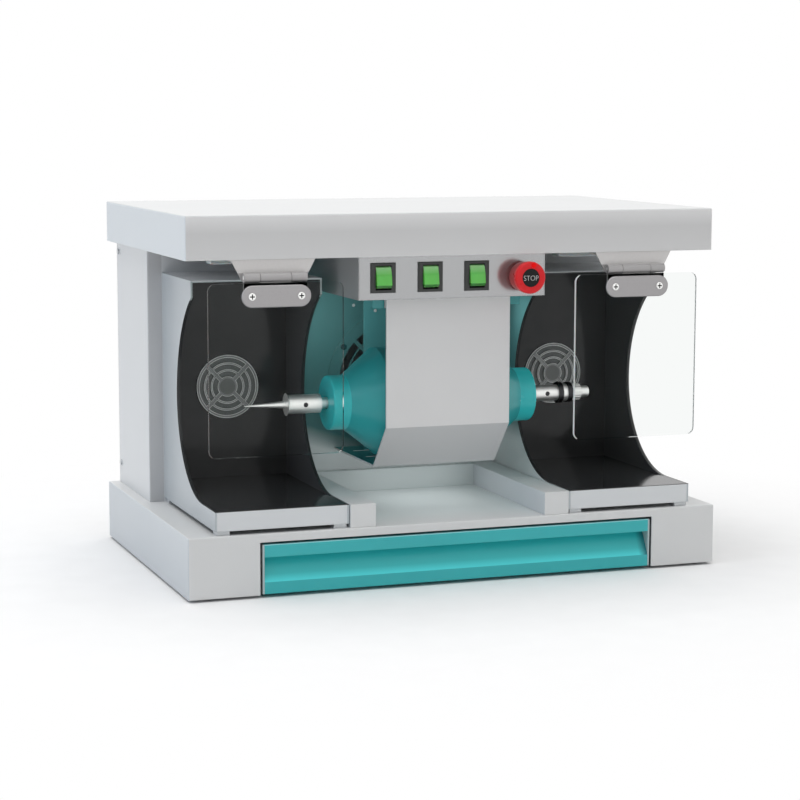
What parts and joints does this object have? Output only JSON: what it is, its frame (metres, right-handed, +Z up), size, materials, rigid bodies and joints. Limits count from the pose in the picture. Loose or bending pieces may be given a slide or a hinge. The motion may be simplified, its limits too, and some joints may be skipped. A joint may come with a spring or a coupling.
{
  "type": "laboratory polishing machine",
  "caption": "Bench polishing machine: a motor spindle between black-lined suction hoods with hinged clear shields, a switch panel under the canopy and a drawer in the base.",
  "frame": {"origin": "on the table, under the middle of the machine's box", "axes": "+X to the right of a person who faces the machine, +Y to its back, +Z up"},
  "size_m": [0.606, 0.38, 0.399],
  "materials": {
    "white_enamel": "powder-coated white sheet, fine satin texture",
    "teal_enamel": "smooth teal stove enamel",
    "teal_plastic": "teal satin front",
    "pale_cap": "pale moulded end cap",
    "black_lining": "glossy black sheet lining",
    "clear_acrylic": "clear polished acrylic sheet",
    "turned_steel": "bright turned steel",
    "black_oxide": "blackened steel",
    "zinc_steel": "bright zinc plate",
    "satin_aluminium": "satin cast aluminium",
    "lamination_steel": "varnished laminations",
    "copper_winding": "varnished copper wire",
    "black_plastic": "fine moulded black plastic",
    "grey_grille": "smoky grey moulded plastic",
    "green_rocker": "translucent green rocker",
    "red_plastic": "smooth red moulded plastic",
    "lamp_cover": "opal lamp cover",
    "filter_fleece": "white filter fleece",
    "capacitor_can": "drawn aluminium can",
    "foot_rubber": "matt black rubber"
  },
  "bodies": {
    "machine_case": {"base_shell": "white_enamel", "base_floor_plate": "zinc_steel", "rubber_feet": "foot_rubber", "drawer_guides": "zinc_steel", "cabinet_shell": "white_enamel", "rear_cover": "white_enamel", "panel_screws": "zinc_steel", "power_inlet": "black_plastic", "canopy_shell": "white_enamel", "canopy_base_plate": "white_enamel", "work_lamps": "lamp_cover", "hood_cheeks": "white_enamel", "hood_wraps": "white_enamel", "hood_liners": "black_lining", "vent_guard": "white_enamel", "suction_grilles": "grey_grille", "fan_frames": "black_plastic", "dust_filters": "filter_fleece", "control_box": "white_enamel", "switch_frames": "black_plastic", "estop_body": "red_plastic", "motor_cover": "white_enamel", "motor_pedestal": "teal_enamel", "motor_bolts": "zinc_steel", "motor_housing": "teal_enamel", "end_bells": "teal_enamel", "motor_bearings": "turned_steel", "run_capacitor": "capacitor_can", "stator_core": "lamination_steel", "stator_windings": "copper_winding", "hinge_brackets": "satin_aluminium", "hinge_pins": "turned_steel", "tray_rails": "white_enamel"},
    "spindle": {"motor_shaft": "turned_steel", "rotor_core": "lamination_steel", "left_sleeve": "turned_steel", "taper_spindle": "turned_steel", "right_sleeve": "turned_steel", "right_arbor": "turned_steel", "arbor_washers": "black_oxide", "arbor_nut": "turned_steel", "sleeve_set_screws": "black_oxide"},
    "left_shield": {"left_hinge_leaf": "satin_aluminium", "left_shield_panel": "clear_acrylic", "left_clamp_plate": "satin_aluminium", "left_clamp_screws": "zinc_steel"},
    "right_shield": {"right_hinge_leaf": "satin_aluminium", "right_shield_panel": "clear_acrylic", "right_clamp_plate": "satin_aluminium", "right_clamp_screws": "zinc_steel"},
    "drawer": {"drawer_front": "teal_plastic", "drawer_end_caps": "pale_cap", "drawer_box": "zinc_steel"},
    "left_switch": {"left_rocker": "green_rocker"},
    "middle_switch": {"middle_rocker": "green_rocker"},
    "right_switch": {"right_rocker": "green_rocker"},
    "stop_plunger": {"estop_plunger": "black_plastic"},
    "stop_head": {"estop_head": "red_plastic"},
    "left_fan": {"left_fan_impeller": "black_plastic"},
    "right_fan": {"right_fan_impeller": "black_plastic"}
  },
  "joints": [
    {"name": "spindle_spin", "type": "hinge", "parent": "machine_case", "child": "spindle", "pos_m": [0, -0.0835, 0.188], "axis": [1, 0, 0], "continuous": true},
    {"name": "left_shield_swing", "type": "hinge", "parent": "machine_case", "child": "left_shield", "pos_m": [-0.2055, -0.18, 0.3347], "axis": [-1, 0, 0], "range_deg": [0, 90]},
    {"name": "right_shield_swing", "type": "hinge", "parent": "machine_case", "child": "right_shield", "pos_m": [0.2055, -0.18, 0.3347], "axis": [-1, 0, 0], "range_deg": [0, 90]},
    {"name": "drawer_slide", "type": "slide", "parent": "machine_case", "child": "drawer", "axis": [0, -1, 0], "range_m": [0, 0.24]},
    {"name": "left_switch_tilt", "type": "hinge", "parent": "machine_case", "child": "left_switch", "pos_m": [-0.0801, -0.1565, 0.3295], "axis": [1, 0, 0], "range_deg": [0, 24]},
    {"name": "middle_switch_tilt", "type": "hinge", "parent": "machine_case", "child": "middle_switch", "pos_m": [-0.0267, -0.1565, 0.3295], "axis": [1, 0, 0], "range_deg": [0, 24]},
    {"name": "right_switch_tilt", "type": "hinge", "parent": "machine_case", "child": "right_switch", "pos_m": [0.0267, -0.1565, 0.3295], "axis": [1, 0, 0], "range_deg": [0, 24]},
    {"name": "stop_press", "type": "slide", "parent": "machine_case", "child": "stop_plunger", "axis": [0, 1, 0], "range_m": [0, 0.004], "stiffness_N_per_m": 1500},
    {"name": "stop_twist", "type": "hinge", "parent": "stop_plunger", "child": "stop_head", "pos_m": [0.0789, -0.1785, 0.3277], "axis": [0, 1, 0], "range_deg": [0, 40], "stiffness_Nm_per_rad": 0.05},
    {"name": "left_fan_spin", "type": "hinge", "parent": "machine_case", "child": "left_fan", "pos_m": [-0.2, 0.0465, 0.196], "axis": [0, 1, 0], "continuous": true},
    {"name": "right_fan_spin", "type": "hinge", "parent": "machine_case", "child": "right_fan", "pos_m": [0.2, 0.0465, 0.196], "axis": [0, 1, 0], "continuous": true}
  ]
}
